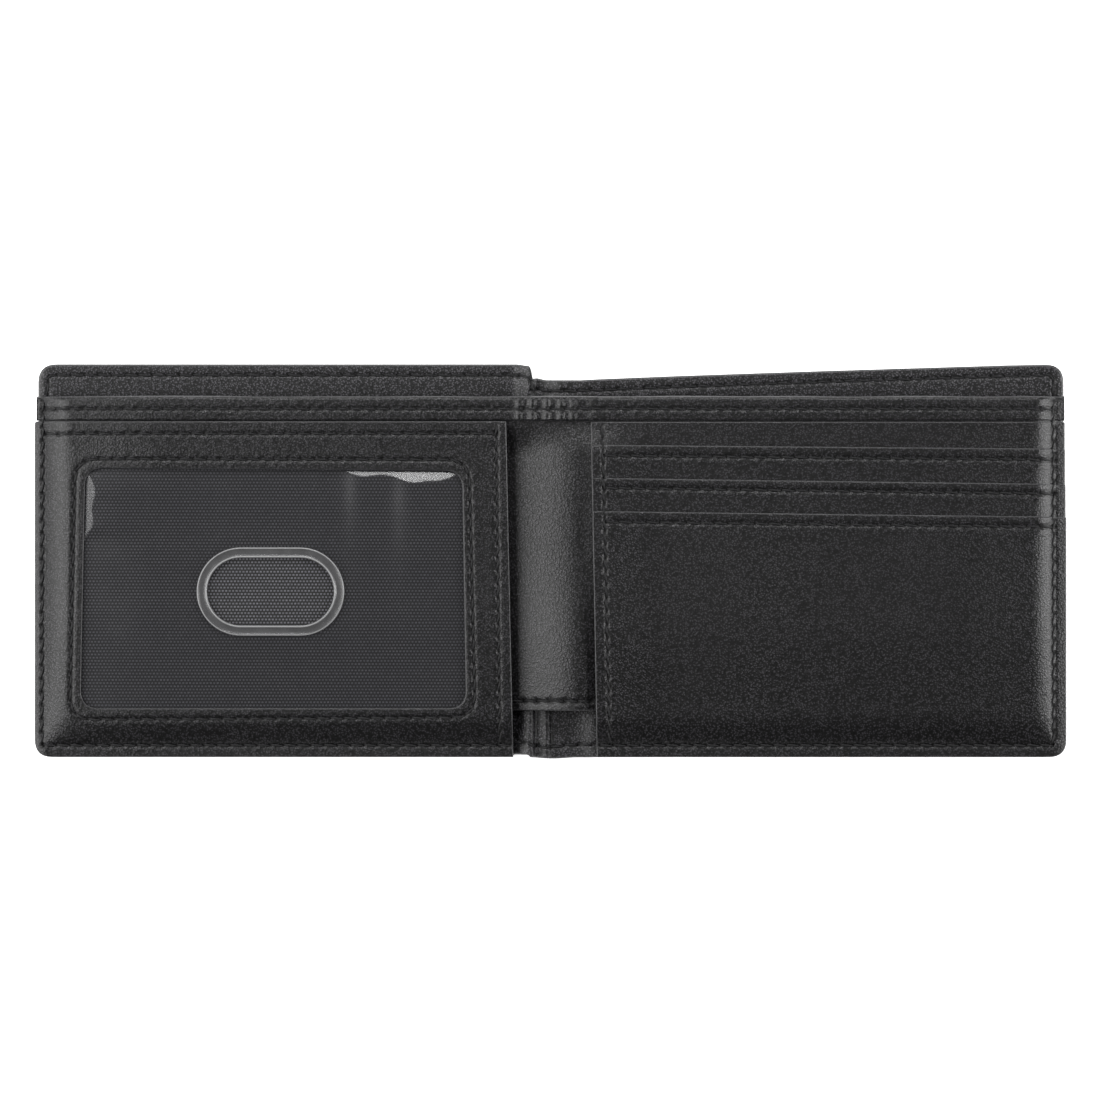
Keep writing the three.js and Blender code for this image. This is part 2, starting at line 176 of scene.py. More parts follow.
def offset(loop, distance):
    """A counter-clockwise outline moved inward by a distance."""
    along = np.roll(loop, -1, axis=0) - np.roll(loop, 1, axis=0)
    along /= np.maximum(np.hypot(*along.T), 1e-9)[:, None]
    return loop + distance * np.stack([-along[:, 1], along[:, 0]], axis=1)


def edge_distance(points, loops, joined=False):
    """Distance from each point to some outlines. Joined leaves out what lies along x = 0."""
    samples = np.vstack([resample(loop, SAMPLE_STEP) for loop in loops])
    if joined:
        samples = samples[np.abs(samples[:, 0]) > 1e-6]
    tree = KDTree(len(samples))
    for i, (x, y) in enumerate(samples.tolist()):
        tree.insert((x, y, 0), i)
    tree.balance()
    return np.array([tree.find((x, y, 0))[2] for x, y in points.tolist()])


def is_inside(points, loops):
    """Whether each point is inside an outline and outside its holes."""
    crossings = np.zeros(len(points), int)
    x, y = points[:, 0, None], points[:, 1, None]
    for loop in loops:
        (x1, y1), (x2, y2) = loop.T, np.roll(loop, -1, axis=0).T
        straddles = (y1 > y) != (y2 > y)
        rise = np.where(y2 == y1, 1, y2 - y1)
        crossings += (straddles & (x < x1 + (y - y1) / rise * (x2 - x1))).sum(1)
    return crossings % 2 == 1


# ---- Seams ----


class Seam:
    """A line of stitches along points (x, y), with a needle hole every PITCH."""

    def __init__(self, line, slant=0.12, closed=False, grip=1.0):
        self.line = np.array(line, float)
        if closed:
            self.line = np.vstack([self.line, self.line[:1]])
        steps = np.hypot(*np.diff(self.line, axis=0).T)
        self.lengths = np.concatenate([[0], np.cumsum(steps)])
        self.count = max(1, round(self.lengths[-1] / PITCH))
        self.pitch = self.lengths[-1] / self.count
        self.slant = slant
        self.grip = grip

    def at(self, s):
        """The points at some distances along the line, and the line's direction there."""
        spot = np.stack([np.interp(s, self.lengths, self.line[:, i]) for i in (0, 1)], axis=-1)
        step, end = 0.05, self.lengths[-1]
        ahead, behind = np.clip(s + step, 0, end), np.clip(s - step, 0, end)
        along = np.stack([np.interp(ahead, self.lengths, side) - np.interp(behind, self.lengths, side)
                          for side in self.line.T], axis=-1)
        return spot, along / np.maximum(np.linalg.norm(along, axis=-1, keepdims=True), 1e-9)

    def locate(self, points):
        """Distance along the line, and distance from it, of the nearest place to each point."""
        start, side = self.line[:-1], np.diff(self.line, axis=0)
        away = points[:, None, :] - start
        t = np.clip((away * side).sum(2) / (side**2).sum(1), 0, 1)
        gap = np.linalg.norm(away - t[..., None] * side, axis=2)
        nearest = gap.argmin(1)
        rows = np.arange(len(points))
        along = self.lengths[nearest] + t[rows, nearest] * np.diff(self.lengths)[nearest]
        return along, gap[rows, nearest]

    def rows(self):
        """Points along the line, close enough together to show its groove and needle holes."""
        s = np.arange(0, self.lengths[-1], 0.36)
        spot, along = self.at(s)
        across = np.stack([-along[:, 1], along[:, 0]], axis=1)
        return np.vstack([spot + across * n for n in SEAM_OFFSETS])

    def pull(self, points):
        """How deep the thread draws the leather in, and how near each point is to a needle hole."""
        along, gap = self.locate(points)
        phase = np.mod(along / self.pitch + 0.5, 1) - 0.5
        from_hole = np.abs(phase) * self.pitch
        groove = GROOVE_DEPTH * np.exp(-((gap / 0.42) ** 2))
        hole = np.exp(-((gap / 0.34) ** 2 + (from_hole / 0.42) ** 2) / self.grip**2)
        beside = SEAM_SWELL * np.exp(-(((gap - 1.0) / 0.45) ** 2)) * np.cos(math.pi * phase) ** 2
        return groove + HOLE_DEPTH * self.grip * hole - beside, hole


# ---- Meshes ----


def mesh_object(name, points, faces, material, **traits):
    """A smooth-shaded object from points in millimetres, with a number for each point in each trait."""
    mesh = bpy.data.meshes.new(name)
    mesh.from_pydata((points * MM).tolist(), [], faces)
    mesh.shade_smooth()
    for trait, values in traits.items():
        attribute = mesh.attributes.new(trait, "FLOAT", "POINT")
        attribute.data.foreach_set("value", values.astype(np.float32))
    ends = np.empty(2 * len(mesh.edges), int)
    mesh.edges.foreach_get("vertices", ends)
    joins_halves = (np.abs(points[ends.reshape(-1, 2), 0]) < 1e-6).all(1)
    mesh.edges.foreach_set("use_edge_sharp", joins_halves)
    mesh.materials.append(material)
    piece = bpy.data.objects.new(name, mesh)
    bpy.context.scene.collection.objects.link(piece)
    return piece


def unique_points(points, spacing):
    """The points with all but the first in each cell of a fine grid left out."""
    _, first = np.unique(np.round(points / spacing).astype(int), axis=0, return_index=True)
    return points[np.sort(first)]


def grid_points(low, high, step_x, step_y):
    """Points in rows between two corners."""
    xs, ys = np.arange(low[0], high[0], step_x), np.arange(low[1], high[1], step_y)
    return np.stack(np.meshgrid(xs, ys), -1).reshape(-1, 2)


def sheet(name, material, loops, height, thickness, seams=(), step=1.7, round_over=0.22, extra=None):
    """A closed sheet over an outline and its holes. height(x, y) is its top surface."""
    round_over = min(round_over, thickness * 0.45)
    border = [resample(loop, BORDER_STEP) for loop in loops]
    edges = np.vstack(border)
    rows = np.vstack([offset(loop, d) for loop in border for d in BORDER_OFFSETS])
    sewn = np.vstack([np.zeros((0, 2)), *[seam.rows() for seam in seams]])
    low, high = edges.min(0), edges.max(0)
    grid = grid_points(low + 0.7, high, step, step)
    if extra is not None:
        grid = np.vstack([extra, grid])
    for seam in seams:
        grid = grid[seam.locate(grid)[1] > CLEAR_OF_SEAM]
    inner = unique_points(np.vstack([sewn, grid]), 0.22)
    inner = inner[edge_distance(inner, loops) > CLEAR_OF_BORDER]
    inner = np.vstack([unique_points(rows, 0.04), inner])
    inner = inner[is_inside(inner, loops)]
    points = np.vstack([edges, inner])

    constraints = []
    first = 0
    for loop in border:
        ring = range(first, first + len(loop))
        constraints += [(i, i + 1 if i + 1 in ring else first) for i in ring]
        first += len(loop)
    made = delaunay_2d_cdt([Vector(p) for p in points.tolist()], constraints, [], 0, 1e-6)
    flat = np.array([tuple(v) for v in made[0]])
    triangles = np.array(made[2])
    origin = np.array([ids[0] if ids else -1 for ids in made[3]])
    is_border = (origin >= 0) & (origin < len(edges))
    doubtful = is_border[triangles].all(1)
    centres = flat[triangles[doubtful]].mean(1)
    keep = np.ones(len(triangles), bool)
    keep[np.flatnonzero(doubtful)[~is_inside(centres, border)]] = False
    triangles = triangles[keep]

    distance = edge_distance(flat, border, joined=True)
    near = np.clip(round_over - distance, 0, round_over)
    fall = round_over - np.sqrt(round_over**2 - near**2)
    surface = height(flat[:, 0], flat[:, 1])
    pulls = [seam.pull(flat) for seam in seams]
    dip = sum((pull[0] for pull in pulls), np.zeros(len(flat)))
    # hole marks the needle holes, where the leather's colour is painted nearly black as shade.
    hole = sum((pull[1] for pull in pulls), np.zeros(len(flat)))
    top = np.column_stack([flat, surface - fall - dip])
    under = np.column_stack([flat, surface - thickness + fall])
    count = len(flat)
    faces = triangles.tolist() + (triangles[:, ::-1] + count).tolist()
    wall = {}
    sides = np.concatenate([triangles[:, [0, 1]], triangles[:, [1, 2]], triangles[:, [2, 0]]])
    for a, b in sides.tolist():
        if wall.pop((b, a), None) is None:
            wall[(a, b)] = True
    faces += [(b, a, a + count, b + count) for a, b in wall]
    # edge marks where the leather is lighter near its outline, part wear and part painted highlight.
    edge, hole = np.tile(np.exp(-((distance / EDGE_WIDTH) ** 2)), 2), np.tile(hole, 2)
    return mesh_object(name, np.vstack([top, under]), faces, material, edge=edge, hole=hole)


def thread(name, seams, surface):
    """Twisted two-ply stitches from hole to hole along some seams, on a surface(x, y)."""
    rings, sides = 11, 8
    u = np.linspace(0, 1, rings)
    theta = np.arange(sides) * math.tau / sides
    all_points, all_faces = [], []
    made = 0
    for seam in seams:
        s = (np.arange(seam.count)[:, None] + 0.04 + 0.92 * u) * seam.pitch
        spot, along = seam.at(s)
        across = np.stack([-along[..., 1], along[..., 0]], axis=-1)
        spot = spot + across * (seam.slant * np.cos(math.pi * u))[None, :, None]
        lift = -0.42 + 0.47 * np.sin(math.pi * u) ** 0.6
        height = surface(spot[..., 0], spot[..., 1]) + lift
        path = np.concatenate([spot, height[..., None]], axis=-1)
        forward = np.gradient(path, axis=1)
        forward /= np.linalg.norm(forward, axis=-1, keepdims=True)
        side = np.concatenate([across, np.zeros_like(across[..., :1])], axis=-1)
        side -= forward * (side * forward).sum(-1, keepdims=True)
        side /= np.linalg.norm(side, axis=-1, keepdims=True)
        up = np.cross(forward, side)
        taper = THREAD * (0.62 + 0.38 * np.sin(math.pi * u) ** 0.5)
        twist = 2 * theta[None, :] - u[:, None] * math.tau * 2.2
        radius = (taper[:, None] * (1 + 0.14 * np.cos(twist)))[None, :, :, None]
        ring = path[:, :, None, :] + radius * (
            side[:, :, None, :] * np.cos(theta)[:, None] + up[:, :, None, :] * np.sin(theta)[:, None])
        all_points.append(ring.reshape(-1, 3))
        for stitch in range(seam.count):
            base = made + stitch * rings * sides
            for i in range(rings - 1):
                for j in range(sides):
                    a, b = base + i * sides + j, base + i * sides + (j + 1) % sides
                    all_faces.append((a, b, b + sides, a + sides))
            all_faces.append(tuple(range(base + sides - 1, base - 1, -1)))
            all_faces.append(tuple(range(base + (rings - 1) * sides, base + rings * sides)))
        made += seam.count * rings * sides
    return mesh_object(name, np.vstack(all_points), all_faces, THREAD_BLACK)


# ---- Materials ----


def shader(name, **values):
    """A new material, its Principled shader with some sockets set, and its node tree."""
    material = bpy.data.materials.new(name)
    material.use_nodes = True
    tree = material.node_tree
    principled = tree.nodes["Principled BSDF"]
    for socket, value in values.items():
        principled.inputs[socket.replace("_", " ")].default_value = value
    return material, tree, principled


def node(tree, kind, **settings):
    """A new node. Settings that name a socket set its value, and others set the node's own property."""
    made = tree.nodes.new("ShaderNode" + kind)
    for key, value in settings.items():
        socket = key.replace("_", " ").title()
        if socket in made.inputs:
            made.inputs[socket].default_value = value
        else:
            setattr(made, key, value)
    return made


def scaled(colour, share):
    return tuple(c * share for c in colour[:3]) + (1,)


def leather(name, colour, edge_colour, roughness=0.26, grain=0.46, depth=0.000045):
    """Pebbled leather: rounded grain with painted glints and painted shade, uneven gloss, needle holes
    painted nearly black as shade, and a lighter edge that is part wear and part painted highlight.
    """
    material, tree, principled = shader(name, Specular_IOR_Level=0.4)
    link = tree.links.new
    place = node(tree, "TexCoord")
    drift = node(tree, "TexNoise", scale=1900, detail=2)
    link(place.outputs["Object"], drift.inputs["Vector"])
    shift = node(tree, "VectorMath", operation="MULTIPLY_ADD")
    shift.inputs[1].default_value = (0.0003, 0.0003, 0.0003)
    link(drift.outputs["Color"], shift.inputs[0])
    link(place.outputs["Object"], shift.inputs[2])
    pebbles = node(tree, "TexVoronoi", feature="F1", scale=1000 / grain, randomness=0.95)
    link(shift.outputs[0], pebbles.inputs["Vector"])
    fine = node(tree, "TexNoise", scale=4500, detail=3, roughness=0.65)
    link(place.outputs["Object"], fine.inputs["Vector"])
    broad = node(tree, "TexNoise", scale=60, detail=2, roughness=0.5)
    link(place.outputs["Object"], broad.inputs["Vector"])

    height = node(tree, "Math", operation="MULTIPLY_ADD")
    height.inputs[1].default_value = -1.5
    link(pebbles.outputs["Distance"], height.inputs[0])
    link(fine.outputs["Fac"], height.inputs[2])
    relief = node(tree, "Bump", strength=1.0, distance=depth)
    link(height.outputs[0], relief.inputs["Height"])
    link(relief.outputs["Normal"], principled.inputs["Normal"])

    # The grain's tone, with painted glints where the pebble crowns are drawn far lighter and painted
    # shade where the valleys are far darker.
    grain_glint_and_shade = node(tree, "ValToRGB")
    grain_glint_and_shade.color_ramp.elements[0].position = 0.16
    grain_glint_and_shade.color_ramp.elements[0].color = scaled(colour, 7.5)
    grain_glint_and_shade.color_ramp.elements[1].position = 0.5
    grain_glint_and_shade.color_ramp.elements[1].color = scaled(colour, 0.1)
    link(pebbles.outputs["Distance"], grain_glint_and_shade.inputs["Fac"])
    tint = node(tree, "ValToRGB")
    tint.color_ramp.elements[0].color = (0.88, 0.88, 0.9, 1)
    tint.color_ramp.elements[0].position = 0.3
    tint.color_ramp.elements[1].color = (1.1, 1.1, 1.09, 1)
    tint.color_ramp.elements[1].position = 0.7
    link(broad.outputs["Fac"], tint.inputs["Fac"])
    blend = node(tree, "Mix", data_type="RGBA", blend_type="MULTIPLY")
    blend.inputs["Factor"].default_value = 1
    link(grain_glint_and_shade.outputs["Color"], blend.inputs["A"])
    link(tint.outputs["Color"], blend.inputs["B"])
    # The lighter edge: part wear, part painted highlight.
    near = node(tree, "Attribute", attribute_name="edge")
    share = node(tree, "MapRange", from_min=0.35, from_max=0.65, to_min=0.45, to_max=1.0)
    link(fine.outputs["Fac"], share.inputs["Value"])
    amount = node(tree, "Math", operation="MULTIPLY")
    link(near.outputs["Fac"], amount.inputs[0])
    link(share.outputs["Result"], amount.inputs[1])
    wear_and_highlight = node(tree, "Mix", data_type="RGBA")
    wear_and_highlight.inputs["B"].default_value = edge_colour
    link(amount.outputs[0], wear_and_highlight.inputs["Factor"])
    link(blend.outputs["Result"], wear_and_highlight.inputs["A"])
    # Painted shade: the base colour goes nearly black at the needle holes.
    pierced = node(tree, "Attribute", attribute_name="hole")
    hole_shade = node(tree, "Mix", data_type="RGBA")
    hole_shade.inputs["B"].default_value = (0.001, 0.001, 0.001, 1)
    link(pierced.outputs["Fac"], hole_shade.inputs["Factor"])
    link(wear_and_highlight.outputs["Result"], hole_shade.inputs["A"])
    link(hole_shade.outputs["Result"], principled.inputs["Base Color"])

    rough = node(tree, "MapRange", from_min=0.05, from_max=0.6)
    rough.inputs["To Min"].default_value = roughness
    rough.inputs["To Max"].default_value = roughness + 0.12
    link(pebbles.outputs["Distance"], rough.inputs["Value"])
    dull = node(tree, "Mix", data_type="FLOAT")
    dull.inputs["B"].default_value = 1
    link(pierced.outputs["Fac"], dull.inputs["Factor"])
    link(rough.outputs["Result"], dull.inputs["A"])
    link(dull.outputs["Result"], principled.inputs["Roughness"])
    return material


def nylon(name, colour):
    """Plain-woven nylon: short shiny threads in staggered rows."""
    material, tree, principled = shader(
        name, Specular_IOR_Level=0.5, Sheen_Weight=0.1, Sheen_Roughness=0.3)
    link = tree.links.new
    place = node(tree, "TexCoord")
    weave = node(tree, "TexBrick", offset=0.5, scale=1000, mortar_size=0.2, mortar_smooth=0.3)
    weave.inputs["Brick Width"].default_value = 0.78
    weave.inputs["Row Height"].default_value = 0.72
    weave.inputs["Color1"].default_value = scaled(colour, 11)
    weave.inputs["Color2"].default_value = scaled(colour, 8)
    weave.inputs["Mortar"].default_value = scaled(colour, 0.03)
    link(place.outputs["Object"], weave.inputs["Vector"])
    broad = node(tree, "TexNoise", scale=120, detail=2)
    link(place.outputs["Object"], broad.inputs["Vector"])
    tint = node(tree, "ValToRGB")
    tint.color_ramp.elements[0].color = (0.82, 0.82, 0.9, 1)
    tint.color_ramp.elements[1].color = (1.15, 1.13, 1.1, 1)
    link(broad.outputs["Fac"], tint.inputs["Fac"])
    blend = node(tree, "Mix", data_type="RGBA", blend_type="MULTIPLY")
    blend.inputs["Factor"].default_value = 1
    link(weave.outputs["Color"], blend.inputs["A"])
    link(tint.outputs["Color"], blend.inputs["B"])
    link(blend.outputs["Result"], principled.inputs["Base Color"])
    relief = node(tree, "Bump", strength=0.6, distance=0.00008, invert=True)
    link(weave.outputs["Fac"], relief.inputs["Height"])
    link(relief.outputs["Normal"], principled.inputs["Normal"])
    rough = node(tree, "MapRange", to_min=0.42, to_max=0.75)
    link(weave.outputs["Fac"], rough.inputs["Value"])
    link(rough.outputs["Result"], principled.inputs["Roughness"])
    return material


def clear_film(name, colour, alpha, roughness=0.2, ior=1.7):
    """Clear flexible film, with faint smears that vary its gloss."""
    material, tree, principled = shader(name, Base_Color=colour, Alpha=alpha, IOR=ior)
    smear = node(tree, "TexNoise", scale=140, detail=4)
    place = node(tree, "TexCoord")
    tree.links.new(place.outputs["Object"], smear.inputs["Vector"])
    rough = node(tree, "MapRange", from_min=0.35, from_max=0.7)
    rough.inputs["To Min"].default_value = roughness
    rough.inputs["To Max"].default_value = roughness + 0.05
    tree.links.new(smear.outputs["Fac"], rough.inputs["Value"])
    tree.links.new(rough.outputs["Result"], principled.inputs["Roughness"])
    return material


def moulded_rim(name, body, line):
    """A moulded clear rim: cloudy, with painted highlights as lighter, more opaque lines along its inner
    and outer edges.
    """
    material, tree, principled = shader(name, Roughness=0.24)
    edge = node(tree, "Attribute", attribute_name="edge")
    cloud = node(tree, "TexNoise", scale=300, detail=2)
    place = node(tree, "TexCoord")
    tree.links.new(place.outputs["Object"], cloud.inputs["Vector"])
    tint = node(tree, "ValToRGB")
    tint.color_ramp.elements[0].color = scaled(body, 0.6)
    tint.color_ramp.elements[1].color = scaled(body, 1.4)
    tree.links.new(cloud.outputs["Fac"], tint.inputs["Fac"])
    # line is the colour of the painted highlights along the rim's edges.
    colour = node(tree, "Mix", data_type="RGBA")
    colour.inputs["B"].default_value = line
    tree.links.new(edge.outputs["Fac"], colour.inputs["Factor"])
    tree.links.new(tint.outputs["Color"], colour.inputs["A"])
    tree.links.new(colour.outputs["Result"], principled.inputs["Base Color"])
    alpha = node(tree, "MapRange", to_min=0.4, to_max=0.8)
    tree.links.new(edge.outputs["Fac"], alpha.inputs["Value"])
    tree.links.new(alpha.outputs["Result"], principled.inputs["Alpha"])
    return material


def sewing_thread(name, colour):
    """Polyester thread: fine slanting fibres and a soft sheen."""
    material, tree, principled = shader(name, Roughness=0.6, Specular_IOR_Level=0.3)
    fibre = node(tree, "TexNoise", scale=5200, detail=2)
    place = node(tree, "TexCoord")
    tree.links.new(place.outputs["Object"], fibre.inputs["Vector"])
    tint = node(tree, "ValToRGB")
    tint.color_ramp.elements[0].color = scaled(colour, 0.6)
    tint.color_ramp.elements[1].color = scaled(colour, 1.7)
    tree.links.new(fibre.outputs["Fac"], tint.inputs["Fac"])
    tree.links.new(tint.outputs["Color"], principled.inputs["Base Color"])
    relief = node(tree, "Bump", strength=0.4, distance=0.00005)
    tree.links.new(fibre.outputs["Fac"], relief.inputs["Height"])
    tree.links.new(relief.outputs["Normal"], principled.inputs["Normal"])
    return material


def board(name, colour):
    """Grey-brown pressed board, hidden inside the cover."""
    material, tree, principled = shader(name, Roughness=0.9)
    fibre = node(tree, "TexNoise", scale=1500, detail=4)
    tint = node(tree, "ValToRGB")
    tint.color_ramp.elements[0].color = scaled(colour, 0.7)
    tint.color_ramp.elements[1].color = scaled(colour, 1.2)
    tree.links.new(fibre.outputs["Fac"], tint.inputs["Fac"])
    tree.links.new(tint.outputs["Color"], principled.inputs["Base Color"])
    return material


def floor_material():
    """Matt white, with light of its own, as on a light table."""
    material, tree, principled = shader("table", Base_Color=(0.93, 0.93, 0.93, 1), Roughness=0.9)
    principled.inputs["Specular IOR Level"].default_value = 0.1
    principled.inputs["Emission Color"].default_value = (1, 1, 1, 1)
    principled.inputs["Emission Strength"].default_value = 0.8
    return material


BLACK = (0.0050, 0.0048, 0.0053, 1)
# Colour of the lighter edge: part wear, part painted highlight.
WORN_AND_HIGHLIGHT = (0.08, 0.08, 0.083, 1)
LEATHER = leather("pebbled_leather", BLACK, WORN_AND_HIGHLIGHT)
FACING_LEATHER = leather("facing_leather", scaled(BLACK, 1.9), scaled(WORN_AND_HIGHLIGHT, 0.5), roughness=0.32)
NYLON = nylon("woven_nylon", (0.0088, 0.0088, 0.0098))
CLEAR = clear_film("clear_film", (0.03, 0.03, 0.033, 1), 0.25)
# The rim's second colour is a painted highlight along its edges.
CLEAR_RIM = moulded_rim("clear_rim", (0.10, 0.10, 0.102, 1), (0.36, 0.36, 0.365, 1))
THREAD_BLACK = sewing_thread("black_thread", (0.008, 0.008, 0.0085, 1))
BOARD = board("stiffener_board", (0.30, 0.27, 0.22, 1))

# ---- The shape of the wallet ----


def swell(x, y):
    """How far the pockets stand above their sewn edge, and how the layers thin out beyond its seam."""
    from_side = LEAF_END - np.abs(x) - LAND
    from_foot = y - BOTTOM - LAND
    side = 0.68 * ease(from_side, np.where(x < 0, 5.8, 4.6)) + 0.32 * ramp(from_side, 0, 26)
    foot = 0.6 * ease(from_foot, 7.5) + 0.4 * ramp(from_foot, 0, 30)
    over_notes = ROOM * side * foot + 0.08 * side * foot * waves(x, y, 3, 42)
    return over_notes - rim_drop(x)


def rim_drop(x):
    """How far the sewn layers are pressed down towards each outer end."""
    depth = np.where(x < 0, 0.78, 0.58)
    return depth * np.clip((np.abs(x) - LEAF_END + LAND) / LAND, 0, 1) ** 1.4


def open_fade(y):
    """1 over most of the height, and 0 under the divider's band."""
    return ramp(y, BAND_FOOT + 0.1, BAND_FOOT - 8)


def strip_bulge(x, y):
    """How the divider sags beside the left pocket and climbs across the spine to the card pockets."""
    low = -2.3 + 0.2 * ramp(y, 2, -24)
    high = 1.1 + 1.2 * ramp(y, 4, -30)
    under_cards = CARD_LIFT - 0.2
    climb = low + (high - low) * ramp(x, STRIP_LEFT, STRIP_RIGHT)
    settle = high + (under_cards - high) * ramp(x, STRIP_RIGHT, STRIP_END)
    over = np.where(x < STRIP_RIGHT, climb, settle)
    over = np.where(x < STRIP_END, over, card_lift(x, 0) - 0.2)
    return np.where(x < STRIP_LEFT, low * ramp(x, -24, STRIP_LEFT), over) * open_fade(y)


def card_lift(x, y):
    """How the inner edge of the card pockets is held up by the divider under it."""
    return CARD_LIFT * ramp(x, 26, 9) * open_fade(y)


def fold_ridge(x, y):
    """The roll in the cover beside the left fold, and the creases in the spine."""
    top_roll = 1.9 * ramp(x, -8.6, -4.4)
    foot_roll = 2.0 * ramp(x, -9.0, -4.6)
    top_creases = np.where(x < 2.6, 1.35 * bump(x, 2.6, 3.0), 1.35 * bump(x, 2.6, 6.0))
    foot_creases = 0.8 * bump(x, -0.9, 1.2) - 0.22 * bump(x, 0.3, 0.4) + 0.8 * bump(x, 10.5, 3)
    roll = np.where(y > 0, top_roll, foot_roll) * ramp(-x, 3.4, 4.1)
    return (roll + np.where(y > 0, top_creases, foot_creases)) * ramp(np.abs(y), 26, 36)


def cover_top(x):
    """The cover's top edge: level on the left leaf, then a step down, and a slow climb to the right."""
    climb = np.clip((x - 7) / (LEAF_END - 12), 0, 1) ** 0.85
    right = SPINE_TOP + (TOP - SPINE_TOP) * climb + 0.45 * bump(x, -3.2, 1.4)
    left = TOP - 0.4 * ramp(x, -8, -4.6)
    t = np.clip((x + 4.9) / 0.75, 0, 1)
    return left - (left - right) * (1 - np.sqrt(1 - t * t))


def cover_bottom(x):
    """The cover's bottom edge, with a notch beside the left fold and a bulge below the spine."""
    notch = 0.55 * ramp(x, -8.9, -8.1) * ramp(-x, 4.4, 5.2)
    return BOTTOM + notch - 0.38 * bump(x, 0.6, 4.2) - 0.1 * bump(x, 8.5, 3)


def layer(spec, over=swell, extra=None):
    """The height function of a layer's top surface."""
    base, thickness = spec

    def height(x, y):
        return base + thickness + over(x, y) + (extra(x, y) if extra else 0)

    return height


def over_cards(x, y):
    return swell(x, y) + card_lift(x, y)


def over_cover(x, y):
    return fold_ridge(x, y) - 0.8 * rim_drop(x)


def cover_height(x, y):
    """The cover has its edges turned in, under the facing."""
    turned_edge = ramp(np.abs(y), 36, 40) * ramp(np.abs(x), LEAF_END, LEAF_END - 4)
    return COVER[1] + 0.4 * turned_edge + fold_ridge(x, y)


facing_height = layer(FACING, over=over_cover)
divider_height = layer(DIVIDER, extra=strip_bulge)
lining_height = layer(LINING, extra=strip_bulge)


def half(side, y_low, y_high, end):
    """The outline of a layer from the middle of the spine to one outer end, counter-clockwise."""
    radius = 4.2
    outer = side * end
    near_x = side * np.concatenate([np.linspace(0, 12, 40), [30, 60, 90, 104]])
    along_bottom = [(x, y_low(x), 0) for x in near_x]
    along_top = [(x, y_high(x), 0) for x in near_x[::-1]]
    corners = [*along_bottom, (outer, y_low(outer), radius), (outer, y_high(outer), radius), *along_top]
    if side < 0:
        corners = corners[::-1]
    return rounded(corners)


# ---- Seam lines ----

LEFT_SIDE_X = -LEAF_END + 1.9
RIGHT_SIDE_X = LEAF_END - 3.0
BOTTOM_SEAM = BOTTOM + 2.7
SIDE_SLANT = 0.26


def top_line(side):
    """The line of the cover's top seam over one leaf, then round the corner and down to the divider."""
    inset = 2.5
    xs = side * np.concatenate([np.linspace(0, 9, 19), np.linspace(12, LEAF_END - 8, 12)])
    end = side * (LEAF_END - 2.9)
    corner = [(end - side * 0.8, TOP - inset), (end, TOP - inset - 0.8)]
    return [(x, cover_top(x) - inset) for x in xs] + corner + [(end, DIVIDER_TOP + 0.4)]


def bottom_line(side):
    xs = side * np.linspace(0, 9.5, 12)
    return [(x, cover_bottom(x) + 2.9 - 0.4 * bump(x, -1, 3)) for x in xs]


BAND_SEAM_Y = DIVIDER_TOP - 2.7
HEM_Y = DIVIDER_FOOT + 2.1
WINDOW = [(-105.2, 20.9, 4.1), (-106.3, -33.4, 4.1), (-19.1, -33.4, 4.1), (-20.0, 20.3, 4.1)]
WINDOW_SEAM = [(-107.4, 23.0, 5.2), (-108.7, -36.0, 5.2), (-17.0, -35.5, 5.2), (-18.4, 22.8, 5.2)]
ID_EDGE = ((-10.0, ID_TOP), (-8.4, BOTTOM))
CARD_EDGE = ((9.1, CARD_TOP), (10.5, BOTTOM))

SEAMS = {
    "top_left": Seam(top_line(-1)),
    "top_right": Seam(top_line(1)),
    "bottom_left": Seam(bottom_line(-1)),
    "bottom_right": Seam(bottom_line(1)),
    "band_left": Seam([(0, BAND_SEAM_Y), (LEFT_SIDE_X, BAND_SEAM_Y)]),
    "band_right": Seam([(0, BAND_SEAM_Y), (RIGHT_SIDE_X, BAND_SEAM_Y)]),
    "hem_left": Seam([(0, HEM_Y), (-9.2, HEM_Y)], slant=0.05, grip=1.5),
    "hem_right": Seam([(0, HEM_Y), (9.2, HEM_Y)], slant=0.05, grip=1.5),
    "left_side": Seam([(LEFT_SIDE_X, DIVIDER_TOP - 0.8), (LEFT_SIDE_X - 0.2, BOTTOM_SEAM)],
                      slant=SIDE_SLANT),
    "left_foot": Seam([(LEFT_SIDE_X, BOTTOM_SEAM), (ID_EDGE[1][0] - 0.6, BOTTOM_SEAM)]),
    "id_top": Seam([(LEFT_SIDE_X + 0.5, ID_TOP - 2.8), (-12.2, ID_TOP - 2.8)]),
    "id_side": Seam([(-12.3, ID_TOP - 0.6), (-11.4, BOTTOM_SEAM)], slant=SIDE_SLANT),
    "window": Seam(rounded(WINDOW_SEAM), closed=True),
    "right_side": Seam([(RIGHT_SIDE_X, DIVIDER_TOP - 0.8), (RIGHT_SIDE_X, BOTTOM_SEAM)],
                       slant=SIDE_SLANT),
    "right_foot": Seam([(RIGHT_SIDE_X, BOTTOM_SEAM), (CARD_EDGE[1][0] + 0.6, BOTTOM_SEAM)]),
    "card_side": Seam([(11.7, CARD_TOP - 0.6), (13.4, BOTTOM_SEAM)], slant=-SIDE_SLANT),
    "slot_1": Seam([(12.0, SLOT_1_TOP - 2.5), (RIGHT_SIDE_X, SLOT_1_TOP - 3.4)]),
    "slot_2": Seam([(12.2, SLOT_2_TOP - 2.3), (RIGHT_SIDE_X, SLOT_2_TOP - 3.6)]),
    "front": Seam([(12.4, FRONT_TOP - 2.5), (RIGHT_SIDE_X, FRONT_TOP - 3.6)]),
}


def seams(*names):
    return [SEAMS[name] for name in names]


# ---- Pieces ----


